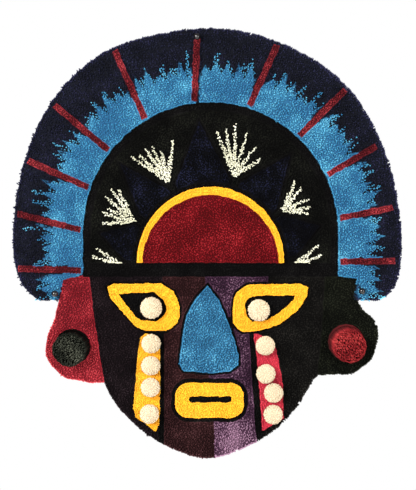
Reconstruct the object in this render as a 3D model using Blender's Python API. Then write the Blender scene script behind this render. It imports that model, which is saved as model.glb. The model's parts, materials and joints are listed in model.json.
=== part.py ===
"""A hand-tufted wall mask with a feather headdress: cut wool pile on a woven cloth, held by three nails.

Metres, +Z up. The wall is the plane y = 0, the mask hangs in front of it and faces -Y, and the
origin is the middle of its back. Everything drawn on the cloth is one flat arrangement of
outlines, given in drawing units that are millimetres at the built size.
"""

import math

import bmesh
import bpy
from mathutils import Vector
from mathutils.geometry import delaunay_2d_cdt

# Overall size. The drawing is stretched to it, and piles, lines, pompoms and nails keep their own sizes.
MASK_WIDTH = 0.776
MASK_HEIGHT = 0.860
DRAWN_WIDTH = 776.0
DRAWN_HEIGHT = 860.0

# The layers, from the wall outwards, and the air between any two pieces that touch.
FELT_THICKNESS = 0.0015
HEM_THICKNESS = 0.0014
CLOTH_THICKNESS = 0.0012
CLEARANCE = 0.0003
HEM_WIDTH = 0.018
FELT_MARGIN = 0.008

# Pile heights above the cloth.
PILE = 0.012
LINE_PILE = 0.0105
CARVED_PILE = 0.0145
DISC_PILE = 0.047

# Widths of what is tufted as a line.
ARCH_WIDTH = 0.016
SUN_LINE = 0.010
POINT_LINE = 0.0065
EYE_LINE = 0.005
NOSE_LINE = 0.005
MOUTH_LINE = 0.009
RAY_WIDTH = 0.013
TUFT_ROW = 0.004
SMALLEST_FIELD = 0.00003  # square metres: less than this holds no tuft

# Pompoms: a clipped ball on a tied neck that goes down through the pile to the cloth.
PUPIL_RADIUS = 0.0228
TEAR_RADIUS = 0.0200
POM_RISE = 0.027
POM_NECK_RADIUS = 0.005
NECK_CLEARANCE = 0.0004
TEAR_GAPS_LEFT = (0.0040, 0.0030, 0.0130)
TEAR_GAPS_RIGHT = (0.0160, 0.0010, 0.0030)

# Ear discs and nails.
DISC_RADIUS = 0.036
NAIL_HEAD_RADIUS = 0.0066
NAIL_SHANK_RADIUS = 0.0011
NAIL_HOLE_CLEARANCE = 0.0004
NAIL_IN_WALL = 0.022
NAIL_POINT = 0.004

# How finely round stretches are cut into straight ones.
ARC_STEP = 6.0
ROUND_SIDES = 16
HOLE_SIDES = 10
SAME_POINT = 0.000002

for old in list(bpy.data.objects):
    bpy.data.objects.remove(old)

FELT_FRONT = FELT_THICKNESS
HEM_BACK = FELT_FRONT + CLEARANCE
HEM_FRONT = HEM_BACK + HEM_THICKNESS
CLOTH_BACK = HEM_FRONT + CLEARANCE
CLOTH_FRONT = CLOTH_BACK + CLOTH_THICKNESS
PILE_BACK = CLOTH_FRONT + CLEARANCE
PILE_FRONT = PILE_BACK + PILE


# --- Materials: one for each yarn or cloth ------------------------------------------------------------

YARNS = {
    "navy": ((0.010, 0.010, 0.032), 0.95, 0.0),
    "blue": ((0.045, 0.215, 0.440), 0.95, 0.0),
    "brick_red": ((0.250, 0.018, 0.026), 0.95, 0.0),
    "sun_red": ((0.180, 0.008, 0.014), 0.95, 0.0),
    "yellow": ((0.950, 0.590, 0.030), 0.90, 0.0),
    "cream": ((0.830, 0.740, 0.600), 0.95, 0.0),
    "black": ((0.006, 0.005, 0.005), 0.95, 0.0),
    "olive_black": ((0.009, 0.010, 0.007), 0.95, 0.0),
    "point_navy": ((0.012, 0.012, 0.030), 0.95, 0.0),
    "aubergine": ((0.012, 0.008, 0.012), 0.95, 0.0),
    "maroon": ((0.026, 0.009, 0.012), 0.95, 0.0),
    "purple": ((0.130, 0.060, 0.150), 0.95, 0.0),
    "pink": ((0.560, 0.035, 0.100), 0.95, 0.0),
    "green_grey": ((0.045, 0.058, 0.040), 0.95, 0.0),
    "felt_back": ((0.030, 0.030, 0.034), 0.90, 0.0),
    "cloth_natural": ((0.620, 0.560, 0.430), 0.90, 0.0),
    "latex": ((0.700, 0.640, 0.470), 0.45, 0.0),
    "nail_dark": ((0.012, 0.012, 0.018), 0.15, 0.0),
}


def yarn(name):
    """The Principled material of this name, made on first use."""
    if name in bpy.data.materials:
        return bpy.data.materials[name]
    material = bpy.data.materials.new(name)
    material.use_nodes = True
    colour, roughness, metallic = YARNS[name]
    shader = material.node_tree.nodes["Principled BSDF"]
    shader.inputs["Base Color"].default_value = (*colour, 1.0)
    shader.inputs["Roughness"].default_value = roughness
    shader.inputs["Metallic"].default_value = metallic
    return material


# --- Flat outlines: lists of (x, z) in metres, anticlockwise seen from the front --------------------


def placed(x, z):
    """A drawn point, in drawing units, at its place on the mask."""
    return Vector((x * MASK_WIDTH / DRAWN_WIDTH, z * MASK_HEIGHT / DRAWN_HEIGHT))


def anticlockwise(outline):
    twice_area = sum(a.cross(b) for a, b in zip(outline, outline[1:] + outline[:1]))
    return outline if twice_area > 0 else outline[::-1]


def drawn(points):
    """The outline through these drawn points."""
    return anticlockwise([placed(x, z) for x, z in points])


def arc(centre, half_width, height, start, end):
    """Drawn points along part of an ellipse, from one angle in degrees to another."""
    steps = max(2, round(abs(end - start) / ARC_STEP))
    turns = [math.radians(start + (end - start) * k / steps) for k in range(steps + 1)]
    return [(centre[0] + half_width * math.cos(t), centre[1] + height * math.sin(t)) for t in turns]


def curve(points, steps=4):
    """Drawn points along a smooth line through the given ones, first and last included."""
    ends = [points[0], *points, points[-1]]
    line = []
    for before, a, b, after in zip(ends, ends[1:], ends[2:], ends[3:]):
        for k in range(steps):
            t = k / steps
            line.append(
                tuple(
                    a[i]
                    + t * (b[i] - before[i]) / 2
                    + t * t * (before[i] - 2.5 * a[i] + 2 * b[i] - after[i] / 2)
                    + t * t * t * (1.5 * (a[i] - b[i]) + (after[i] - before[i]) / 2)
                    for i in (0, 1)
                )
            )
    return [*line, points[-1]]


def ring(centre, radius, sides=ROUND_SIDES):
    """A true circle in metres about a placed point."""
    turns = [2 * math.pi * k / sides for k in range(sides)]
    return [centre + radius * Vector((math.cos(t), math.sin(t))) for t in turns]


BLUNTEST = 0.6  # a sharp tip moves out by at most this many times less than a true mitre would ask


def grown(outline, by):
    """The outline moved outwards by this much, or inwards when negative, its sharp tips blunted."""
    moved = []
    for before, here, after in zip(outline[-1:] + outline[:-1], outline, outline[1:] + outline[:1]):
        into, out_of = (here - before).normalized(), (after - here).normalized()
        normal = Vector((into.y + out_of.y, -into.x - out_of.x)).normalized()
        spread = max(BLUNTEST, normal.dot(Vector((into.y, -into.x))))
        moved.append(here + normal * (by / spread))
    return moved


# --- The drawing --------------------------------------------------------------------------------------

# Headdress: a round fan of feathers, open at the bottom, over an arch that crowns the face.
HEADDRESS_FOOT = -114
ARCH_CENTRE = (4, 22)
ARCH_HALF_WIDTH = 256
ARCH_RISE = 260
BROW_TOP = -40
BROW_FOOT = -68
headdress = drawn(
    curve(
        [
            (342, HEADDRESS_FOOT),
            (368, -92),
            (383, -45),
            (384, 20),
            (372, 112),
            (343, 204),
            (289, 298),
            (210, 366),
            (106, 413),
            (4, 429),
            (-104, 416),
            (-204, 384),
            (-284, 320),
            (-340, 238),
            (-374, 142),
            (-389, 50),
            (-390, -30),
            (-372, -85),
            (-341, HEADDRESS_FOOT),
        ],
        2,
    )
)
arch = drawn(
    [
        (ARCH_CENTRE[0] + ARCH_HALF_WIDTH, BROW_FOOT),
        *arc(ARCH_CENTRE, ARCH_HALF_WIDTH, ARCH_RISE, 0, 180),
        (ARCH_CENTRE[0] - ARCH_HALF_WIDTH, BROW_FOOT),
    ]
)
crown = grown(arch, -ARCH_WIDTH)
brow = drawn(
    [
        (ARCH_CENTRE[0] - ARCH_HALF_WIDTH, BROW_FOOT),
        (ARCH_CENTRE[0] + ARCH_HALF_WIDTH, BROW_FOOT),
        (ARCH_CENTRE[0] + ARCH_HALF_WIDTH, BROW_TOP),
        (ARCH_CENTRE[0] - ARCH_HALF_WIDTH, BROW_TOP),
    ]
)

# The blue band round the arch ends in uneven tongues: mean reach at the sides, top and foot, tongue
# length, and tongues in all.
FLAME_CENTRE = (4, -24)
FLAME_SIDE_REACH = 327
FLAME_TOP_REACH = 374
FLAME_FOOT_REACH = 377
FLAME_LENGTH = 26
FLAME_COUNT = 58
FLAME_START = -13.5
FLAME_END = 193.5


def flames():
    """Valley, tip, valley, tip round the band, with each tongue's length and lean from a slow beat."""
    line = []
    for k in range(2 * FLAME_COUNT + 1):
        beat = math.sin(2.4 * k) + 0.6 * math.sin(5.3 * k + 1.0)
        angle = FLAME_START + (FLAME_END - FLAME_START) * (k + 0.25 * math.sin(3.7 * k)) / (2 * FLAME_COUNT)
        turn = math.radians(angle)
        far_reach = FLAME_TOP_REACH if math.sin(turn) > 0 else FLAME_FOOT_REACH
        reach = FLAME_SIDE_REACH + (far_reach - FLAME_SIDE_REACH) * abs(math.sin(turn))
        reach += FLAME_LENGTH * (0.5 + 0.35 * beat if k % 2 else -0.5 + 0.15 * beat)
        line.append((FLAME_CENTRE[0] + reach * math.cos(turn), FLAME_CENTRE[1] + reach * math.sin(turn)))
    return line


flame_line = flames()
blue_band = drawn([*flame_line, (flame_line[-1][0], -150), (flame_line[0][0], -150)])

# Rays: the outer end's angle and reach about the fan's middle, and the inner end's angle on the arch.
FAN_MIDDLE = (-6, 43)
RAYS = (
    (194.2, 387, 196.6),
    (177.7, 377, 179.2),
    (161.2, 376, 160.3),
    (142.5, 382, 141.8),
    (118.1, 387, 120.5),
    (92.7, 365, 97.3),
    (67.9, 380, 72.7),
    (43.3, 383, 46.8),
    (23.8, 373, 25.6),
    (4.2, 376, 5.9),
    (-11.8, 388, -13.0),
)


def on_arch(degrees, outside):
    """The placed point on the arch in this direction, this far outside it: round above, upright below."""
    turn = math.radians(degrees)
    across, up = math.cos(turn), math.sin(turn)
    if up < 0:
        across, up = math.copysign(1.0, across), up / abs(across)
    edge = placed(ARCH_CENTRE[0] + ARCH_HALF_WIDTH * across, ARCH_CENTRE[1] + ARCH_RISE * up)
    return edge + outside * Vector((across, max(up, 0.0)))


def ray(outer_angle, reach, inner_angle):
    turn = math.radians(outer_angle)
    tip = placed(FAN_MIDDLE[0] + reach * math.cos(turn), FAN_MIDDLE[1] + reach * math.sin(turn))
    root = on_arch(inner_angle, TUFT_ROW)
    side = (tip - root).orthogonal().normalized() * RAY_WIDTH / 2
    return anticlockwise([root - side, tip - side, tip + side, root + side])


# Crown: a half sun on the brow band, with five points standing round it.
SUN_CENTRE = (4, -40)
SUN_DISC = (137, 136)
SUN_RIM = (147, 152)
POINT_FOOT = 172
POINTS = (
    (165.0, 228, 153.5, 178.0),
    (132.4, 267, 120.5, 145.5),
    (94.7, 284, 77.0, 114.0),
    (53.6, 268, 39.5, 69.5),
    (18.7, 230, 5.0, 33.5),
)
sun_disc = drawn(arc(SUN_CENTRE, *SUN_DISC, 0, 360)[:-1])
sun_rim = drawn(arc(SUN_CENTRE, *SUN_RIM, 0, 360)[:-1])


def from_sun(degrees, reach):
    turn = math.radians(degrees)
    return (SUN_CENTRE[0] + reach * math.cos(turn), SUN_CENTRE[1] + reach * math.sin(turn))


def point(tip_angle, reach, low_angle, high_angle):
    """A tall triangle whose foot passes under the sun's line."""
    under = POINT_FOOT * 0.8
    return drawn(
        [
            from_sun(tip_angle, reach),
            from_sun(high_angle, POINT_FOOT),
            from_sun(high_angle, under),
            from_sun(low_angle, under),
            from_sun(low_angle, POINT_FOOT),
        ]
    )


# Face: straight sides, a round chin, and four fields of colour side by side.
face = drawn(
    [
        (-241, BROW_FOOT + 16),
        (-230, -144),
        *curve(
            [
                (-213, -252),
                (-205, -288),
                (-175, -335),
                (-122, -384),
                (-57, -418),
                (-4, -431),
                (50, -418),
                (118, -384),
                (170, -335),
                (200, -288),
                (218, -262),
            ],
            3,
        ),
        (227, -174),
        (234, BROW_FOOT + 16),
    ]
)
BELOW = -460
PURPLE_SPLIT = -166
maroon_field = drawn(
    [(-92, -50), (-6, -50), (-6, -76), (1, -262), (11, -358), (12, BELOW), (-92, BELOW)]
)
purple_brow_field = drawn([(-7, -50), (120, -50), (120, PURPLE_SPLIT), (-4, PURPLE_SPLIT)])
purple_chin_field = drawn(
    [(-4, PURPLE_SPLIT), (90, PURPLE_SPLIT), (106, BELOW), (12, BELOW), (11, -358), (1, -262)]
)
cheek_right_field = drawn([(60, -50), (260, -50), (260, BELOW), (60, BELOW)])

# Eyes: a yellow ring with a flat lid, a dark ground inside it, and a pompom for the pupil.
eye_ring_left = drawn(
    [
        (-202, -88),
        (-190, -82),
        (-96, -82),
        *curve([(-70, -98), (-58, -130), (-64, -160), (-84, -176)], 2),
        *curve([(-124, -176), (-146, -166), (-173, -136), (-196, -110)], 2),
    ]
)
eye_ground_left = drawn(
    [
        (-182, -102),
        (-110, -98),
        *curve([(-90, -114), (-84, -130), (-90, -146), (-106, -158)], 2),
        *curve([(-130, -156), (-144, -150), (-164, -126)], 2),
    ]
)
eye_ring_right = drawn(
    [
        (185, -82),
        (198, -90),
        *curve([(196, -107), (176, -136), (136, -165), (96, -176)], 2),
        *curve([(69, -178), (50, -160), (52, -110), (64, -94), (79, -84)], 2),
    ]
)
eye_ground_right = drawn(
    [
        (174, -105),
        (170, -115),
        *curve([(142, -140), (116, -155), (88, -158)], 2),
        *curve([(76, -146), (72, -130), (76, -115), (88, -107)], 2),
        (116, -105),
    ]
)
pupil_left = placed(-113, -129)
pupil_right = placed(101, -134)

# Tears: a string of pompoms under each eye, a strip of colour behind it, and a black line beside it.
TEAR_TOP_LEFT = (-113, -200)
TEAR_TOP_RIGHT = (114, -204)
TEAR_HEADINGS_LEFT = (-91.0, -91.0, -92.0)
TEAR_HEADINGS_RIGHT = (-89.0, -68.0, -91.0)


def string_of_poms(top, headings, gaps):
    """Centres of four pompoms, each a gap away from the one above it, in the given directions."""
    centres = [placed(*top)]
    for heading, gap in zip(headings, gaps):
        turn = math.radians(heading)
        step = Vector((math.cos(turn), math.sin(turn)))
        centres.append(centres[-1] + step * (2 * TEAR_RADIUS + gap))
    return centres


def tear_strip(down_one_side, round_last_pom, up_other_side, last_pom):
    """Drawn points at the top, and a foot set out from the last pompom in shares of its radius."""
    foot = [last_pom + TEAR_RADIUS * Vector(share) for share in round_last_pom]
    down = [placed(x, z) for x, z in down_one_side]
    up = [placed(x, z) for x, z in up_other_side]
    return anticlockwise([*down, *foot, *up])


tear_poms_left = string_of_poms(TEAR_TOP_LEFT, TEAR_HEADINGS_LEFT, TEAR_GAPS_LEFT)
tear_poms_right = string_of_poms(TEAR_TOP_RIGHT, TEAR_HEADINGS_RIGHT, TEAR_GAPS_RIGHT)
tear_strip_left = tear_strip(
    [(-126, -181), (-137, -190), (-141, -216), (-146, -276)],
    [(-1.7, 0.5), (-1.5, -0.4), (0.5, -1.9), (0.9, -1.1)],
    [(-97, -216), (-106, -186)],
    tear_poms_left[-1],
)
tear_strip_right = tear_strip(
    [(91, -182), (97, -230)],
    [(-1.3, 1.5), (-1.05, -1.8), (1.0, -0.5), (1.0, 2.5)],
    [(137, -216), (122, -190)],
    tear_poms_right[-1],
)
tear_line_left = drawn(
    [(-128, -165), (-89, -165), (-89, BELOW), (-100, BELOW), (-102, -216), (-128, -200)]
)
tear_line_right = drawn([(80, -165), (100, -165), (114, -385), (116, BELOW), (99, BELOW)])

# Nose and mouth.
nose = drawn(
    [
        (-2, -86),
        *curve([(-24, -110), (-44, -146), (-54, -204), (-58, -243)], 2),
        (-50, -256),
        (2, -261),
        (42, -258),
        (60, -243),
        *curve([(59, -223), (42, -166), (19, -114)], 2),
    ]
)


# The black round the nose and the black round the right eye run together here.
nose_to_eye = drawn([(38, -172), (56, -172), (56, -148), (38, -148)])


def rounded_box(left, right, foot, top, corner):
    """A drawn box whose corners are quarter circles."""
    return drawn(
        [
            *arc((right - corner, foot + corner), corner, corner, 270, 360),
            *arc((right - corner, top - corner), corner, corner, 0, 90),
            *arc((left + corner, top - corner), corner, corner, 90, 180),
            *arc((left + corner, foot + corner), corner, corner, 180, 270),
        ]
    )


mouth_ring = rounded_box(-66, 70, -350, -281, 26)
mouth_slot = rounded_box(-39, 47, -320, -307, 5)

# Ears, each with a disc standing out of it.
ear_left = drawn(
    [
        (-225, -60),
        (-258, -66),
        (-292, -74),
        (-298, -108),
        *curve([(-308, -154), (-322, -188), (-325, -226), (-308, -252), (-288, -270)], 3),
        *curve([(-232, -280), (-205, -278)], 2),
        (-200, -180),
    ]
)
ear_right = drawn(
    [
        (225, -60),
        (258, -66),
        (298, -72),
        (291, -108),
        *curve([(308, -137), (330, -156), (337, -178), (334, -204), (322, -236), (286, -262)], 3),
        (200, -264),
        (190, -180),
    ]
)
disc_left = placed(-272, -208)
disc_right = placed(276, -198)

# Nails: one in each foot corner of the headdress and one at its top.
nails = {
    "nail_left": placed(-305, -101),
    "nail_right": placed(307, -96),
    "nail_top": placed(-22, 411),
}

poms = {
    "pom_pupil_left": (pupil_left, PUPIL_RADIUS),
    "pom_pupil_right": (pupil_right, PUPIL_RADIUS),
}
for k, centre in enumerate(tear_poms_left, 1):
    poms[f"pom_tear_left_{k}"] = (centre, TEAR_RADIUS)
for k, centre in enumerate(tear_poms_right, 1):
    poms[f"pom_tear_right_{k}"] = (centre, TEAR_RADIUS)


# --- Fields: what each yarn fills, where the outlines drawn later lie over the earlier ones ---------


class Shape:
    """An outline and the node that it fills, perhaps only inside another shape; no node means a hole."""

    def __init__(self, outline, node, inside=None):
        self.outline = outline
        self.node = node
        self.inside = inside


def cut_apart(shapes):
    """Cuts crossing outlines into small faces; gives the points, the faces and the shapes over each."""
    points, loops = [], []
    for shape in shapes:
        loops.append(list(range(len(points), len(points) + len(shape.outline))))
        points += shape.outline
    where, _, faces, _, _, covers = delaunay_2d_cdt(points, [], loops, 1, SAME_POINT)
    return where, faces, covers


def sorted_faces(shapes):
    """For each node, its faces as lists of points: the last shape over a face owns it."""
    where, faces, covers = cut_apart(shapes)
    owned = {}
    for face_points, cover in zip(faces, covers):
        over = [shapes[k] for k in sorted(cover)]
        over = [shape for shape in over if shape.inside is None or shape.inside in over]
        if over:
            owned.setdefault(over[-1].node, []).append([where[p] for p in face_points])
    return owned


def flat_mesh(faces):
    """The faces joined into one flat sheet in the wall plane, with no points inside a field."""
    sheet = bmesh.new()
    for face_points in faces:
        corners = [sheet.verts.new((p.x, 0.0, p.y)) for p in face_points]
        sheet.faces.new(corners)
    bmesh.ops.remove_doubles(sheet, verts=sheet.verts, dist=SAME_POINT)
    bmesh.ops.dissolve_limit(
        sheet, angle_limit=math.radians(0.05), verts=sheet.verts, edges=sheet.edges
    )
    bmesh.ops.triangulate(sheet, faces=sheet.faces)
    return sheet


def islands(sheet):
    """Groups of faces that join along edges, the largest first."""
    left = set(sheet.faces)
    groups = []
    while left:
        group, edge_of = set(), [left.pop()]
        while edge_of:
            here = edge_of.pop()
            group.add(here)
            for edge in here.edges:
                for other in edge.link_faces:
                    if other in left:
                        left.discard(other)
                        edge_of.append(other)
        groups.append(group)
    return sorted(groups, key=lambda group: -sum(f.calc_area() for f in group))


def add_object(name, mesh, material, location=(0.0, 0.0, 0.0)):
    data = bpy.data.meshes.new(name)
    mesh.to_mesh(data)
    mesh.free()
    data.materials.append(yarn(material))
    piece = bpy.data.objects.new(name, data)
    bpy.context.scene.collection.objects.link(piece)
    piece.location = location
    return piece


def slab(name, faces, back, front, material):
    """Each island of the sheet, drawn in by half the clearance and raised from back to front."""
    sheet = flat_mesh(faces)
    corners = [
        [[v.co.copy() for v in f.verts] for f in group]
        for group in islands(sheet)
        if sum(f.calc_area() for f in group) > SMALLEST_FIELD
    ]
    sheet.free()
    for k, group in enumerate(corners):
        solid = bmesh.new()
        for face_points in group:
            solid.faces.new([solid.verts.new(p) for p in face_points])
        bmesh.ops.remove_doubles(solid, verts=solid.verts, dist=SAME_POINT)
        rim = bmesh.ops.inset_region(
            solid, faces=solid.faces, thickness=CLEARANCE / 2, use_boundary=True, use_even_offset=True
        )
        bmesh.ops.delete(solid, geom=rim["faces"], context="FACES")
        bmesh.ops.translate(solid, verts=solid.verts, vec=(0.0, -back, 0.0))
        raised = bmesh.ops.extrude_face_region(solid, geom=solid.faces, use_keep_orig=True)
        lifted = [g for g in raised["geom"] if isinstance(g, bmesh.types.BMVert)]
        bmesh.ops.translate(solid, verts=lifted, vec=(0.0, back - front, 0.0))
        bmesh.ops.recalc_face_normals(solid, faces=solid.faces)
        add_object(name if k == 0 else f"{name}_{chr(ord('a') + k)}", solid, material)


def each(outlines, node, inside=None):
    return [Shape(outline, node, inside) for outline in outlines]


nail_holes = each(
    [ring(at, NAIL_SHANK_RADIUS + NAIL_HOLE_CLEARANCE, HOLE_SIDES) for at in nails.values()], None
)
# The cloth is one piece: behind the brow a plain panel ties headdress, ears and face together.
tie_panel = drawn([(-262, -240), (262, -240), (262, 0), (-262, 0)])
silhouette = [headdress, ear_left, ear_right, face, tie_panel]

# Backing: felt over everything, the cloth's folded margin round the rim, latex inside the margin.
felt = each([grown(o, -FELT_MARGIN) for o in silhouette], "backing_felt") + nail_holes
slab("backing_felt", sorted_faces(felt)["backing_felt"], 0.0, FELT_FRONT, "felt_back")
margin = (
    each(silhouette, "hem_fold")
    + each([grown(o, -HEM_WIDTH) for o in silhouette], "latex_layer")
    + nail_holes
)
margin_faces = sorted_faces(margin)
slab("hem_fold", margin_faces["hem_fold"], HEM_BACK, HEM_FRONT, "cloth_natural")
slab("latex_layer", margin_faces["latex_layer"], HEM_BACK, HEM_FRONT, "latex")
cloth = each(silhouette, "primary_cloth") + nail_holes
slab("primary_cloth", sorted_faces(cloth)["primary_cloth"], CLOTH_BACK, CLOTH_FRONT, "cloth_natural")

# Pile fields in drawing order: a later shape lies over an earlier one.
CROWN_LINES = "pile_outline_crown"
LEFT_LINES = "pile_outline_left_eye"
CENTRE_LINES = "pile_outline_nose_and_right_eye"
MOUTH_LINES = "pile_outline_mouth"
fan = Shape(headdress, "pile_headdress_navy")
arch_ring = Shape(arch, CROWN_LINES)
crown_ground = Shape(crown, "pile_crown_ground")
shapes = [fan, Shape(blue_band, "pile_band_blue", fan)]
shapes += [Shape(ray(*drawn_ray), f"pile_ray_{k:02d}") for k, drawn_ray in enumerate(RAYS, 1)]
shapes += [Shape(ear_left, "pile_ear_left"), Shape(ear_right, "pile_ear_right")]
shapes += [arch_ring, crown_ground]
points = [point(*drawn_point) for drawn_point in POINTS]
shapes += each([grown(outline, POINT_LINE) for outline in points], CROWN_LINES, crown_ground)
shapes += [Shape(outline, f"pile_point_{k}") for k, outline in enumerate(points, 1)]
shapes += [
    Shape(grown(sun_rim, SUN_LINE), CROWN_LINES, arch_ring),
    Shape(sun_rim, "pile_sun_rim", arch_ring),
    Shape(sun_disc, "pile_sun_disc", arch_ring),
]
mask_face = Shape(face, "pile_cheek_left")
shapes += [
    mask_face,
    Shape(maroon_field, "pile_maroon", mask_face),
    Shape(cheek_right_field, "pile_cheek_right", mask_face),
    Shape(purple_brow_field, "pile_purple_brow", mask_face),
    Shape(purple_chin_field, "pile_purple_chin", mask_face),
    Shape(tear_line_left, LEFT_LINES, mask_face),
    Shape(tear_line_right, CENTRE_LINES, mask_face),
    Shape(nose_to_eye, CENTRE_LINES, mask_face),
    Shape(tear_strip_left, "pile_tear_left", mask_face),
    Shape(tear_strip_right, "pile_tear_right", mask_face),
    Shape(grown(eye_ring_left, EYE_LINE), LEFT_LINES),
    Shape(grown(eye_ring_right, EYE_LINE), CENTRE_LINES),
    Shape(grown(nose, NOSE_LINE), CENTRE_LINES),
    Shape(grown(mouth_ring, MOUTH_LINE), MOUTH_LINES),
    Shape(eye_ring_left, "pile_eye_ring_left"),
    Shape(eye_ring_right, "pile_eye_ring_right"),
    Shape(eye_ground_left, "pile_eye_ground_left"),
    Shape(eye_ground_right, "pile_eye_ground_right"),
    Shape(nose, "pile_nose"),
    Shape(mouth_ring, "pile_mouth_ring"),
    Shape(mouth_slot, "pile_mouth_slot"),
    Shape(brow, CROWN_LINES),
    Shape(ring(disc_left, DISC_RADIUS), "ear_disc_left"),
    Shape(ring(disc_right, DISC_RADIUS), "ear_disc_right"),
]
necks = [ring(centre, POM_NECK_RADIUS + NECK_CLEARANCE, HOLE_SIDES) for centre, _ in poms.values()]
shapes += each(necks, None) + nail_holes

FIELD_YARN = {
    "pile_headdress_navy": "navy",
    "pile_band_blue": "blue",
    "pile_ear_left": "brick_red",
    "pile_ear_right": "olive_black",
    "pile_crown_ground": "olive_black",
    "pile_sun_rim": "yellow",
    "pile_sun_disc": "sun_red",
    "pile_cheek_left": "aubergine",
    "pile_maroon": "maroon",
    "pile_purple_brow": "purple",
    "pile_purple_chin": "purple",
    "pile_cheek_right": "black",
    "pile_tear_left": "yellow",
    "pile_tear_right": "pink",
    "pile_eye_ring_left": "yellow",
    "pile_eye_ring_right": "yellow",
    "pile_eye_ground_left": "black",
    "pile_eye_ground_right": "black",
    "pile_nose": "blue",
    "pile_mouth_ring": "yellow",
    "pile_mouth_slot": "black",
    "ear_disc_left": "green_grey",
    "ear_disc_right": "sun_red",
    CROWN_LINES: "black",
    LEFT_LINES: "black",
    CENTRE_LINES: "black",
    MOUTH_LINES: "black",
}
FIELD_HEIGHT = {
    "pile_sun_rim": CARVED_PILE,
    "pile_eye_ring_left": CARVED_PILE,
    "pile_eye_ring_right": CARVED_PILE,
    "pile_nose": CARVED_PILE,
    "pile_mouth_ring": CARVED_PILE,
    "ear_disc_left": DISC_PILE,
    "ear_disc_right": DISC_PILE,
    CROWN_LINES: LINE_PILE,
    LEFT_LINES: LINE_PILE,
    CENTRE_LINES: LINE_PILE,
    MOUTH_LINES: LINE_PILE,
}
for k in range(1, len(RAYS) + 1):
    FIELD_YARN[f"pile_ray_{k:02d}"] = "brick_red"
for k in range(1, len(POINTS) + 1):
    FIELD_YARN[f"pile_point_{k}"] = "point_navy"

fields = sorted_faces(shapes)
for node, material in FIELD_YARN.items():
    height = FIELD_HEIGHT.get(node, PILE)
    slab(node, fields[node], PILE_BACK, PILE_BACK + height, material)


# --- Round pieces: pompoms and nails, turned about the -Y direction -----------------------------------


def turned(name, centre, profile, material, sides=ROUND_SIDES):
    """A round solid; the profile is (radius, distance out from the wall) pairs, wall side first."""
    solid = bmesh.new()
    line = [solid.verts.new((radius, -out, 0.0)) for radius, out in profile]
    edges = [solid.edges.new(pair) for pair in zip(line, line[1:])]
    bmesh.ops.spin(
        solid, geom=line + edges, cent=(0, 0, 0), axis=(0, 1, 0), angle=2 * math.pi, steps=sides
    )
    bmesh.ops.remove_doubles(solid, verts=solid.verts, dist=SAME_POINT)
    bmesh.ops.recalc_face_normals(solid, faces=solid.faces)
    piece = add_object(name, solid, material, (centre.x, 0.0, centre.y))
    piece.data.shade_smooth()
    piece.data.set_sharp_from_angle(angle=math.radians(40))
    return piece


def half_round(radius, foot, rise, steps):
    """Profile points up a rounded dome: from its full width at the foot to its top."""
    turns = [math.pi / 2 * k / steps for k in range(steps + 1)]
    return [(radius * math.cos(t), foot + rise * math.sin(t)) for t in turns[:-1]] + [(0.0, foot + rise)]


# A pompom rests on the highest pile near it, its neck seated on the cloth.
POM_FOOT = PILE_FRONT + CLEARANCE
POM_BELLY = 0.35  # of the rise: how far up the ball is widest
POM_FOOT_SHARE = 0.72  # of the radius: how wide the ball sits on the pile
for name, (centre, radius) in poms.items():
    widest = POM_FOOT + POM_RISE * POM_BELLY
    profile = [
        (0.0, PILE_BACK),
        (POM_NECK_RADIUS, PILE_BACK),
        (POM_NECK_RADIUS, POM_FOOT),
        (radius * POM_FOOT_SHARE, POM_FOOT),
        (radius * 0.93, (POM_FOOT + widest) / 2),
        *half_round(radius, widest, POM_RISE * (1 - POM_BELLY), 4),
    ]
    turned(name, centre, profile, "cream")

# A nail: a ball head that presses on the pile, and a shank through every layer into the wall.
HEAD_BACK = PILE_FRONT + CLEARANCE
HEAD_MIDDLE = HEAD_BACK + NAIL_HEAD_RADIUS
for name, centre in nails.items():
    neck_turn = math.asin(NAIL_SHANK_RADIUS / NAIL_HEAD_RADIUS)
    turns = [neck_turn + (math.pi - neck_turn) * k / 8 for k in range(8)]
    ball = [
        (NAIL_HEAD_RADIUS * math.sin(t), HEAD_MIDDLE - NAIL_HEAD_RADIUS * math.cos(t)) for t in turns
    ]
    profile = [
        (0.0, -NAIL_IN_WALL),
        (NAIL_SHANK_RADIUS, NAIL_POINT - NAIL_IN_WALL),
        *ball,
        (0.0, HEAD_MIDDLE + NAIL_HEAD_RADIUS),
    ]
    turned(name, centre, profile, "nail_dark", HOLE_SIDES)
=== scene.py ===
"""A wall mask of tufted yarn: a face under a feather headdress, hung on three ball-headed nails."""

import json
import math
from functools import partial
from itertools import count

import bmesh
import bpy
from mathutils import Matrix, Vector
from mathutils.kdtree import KDTree

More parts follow.
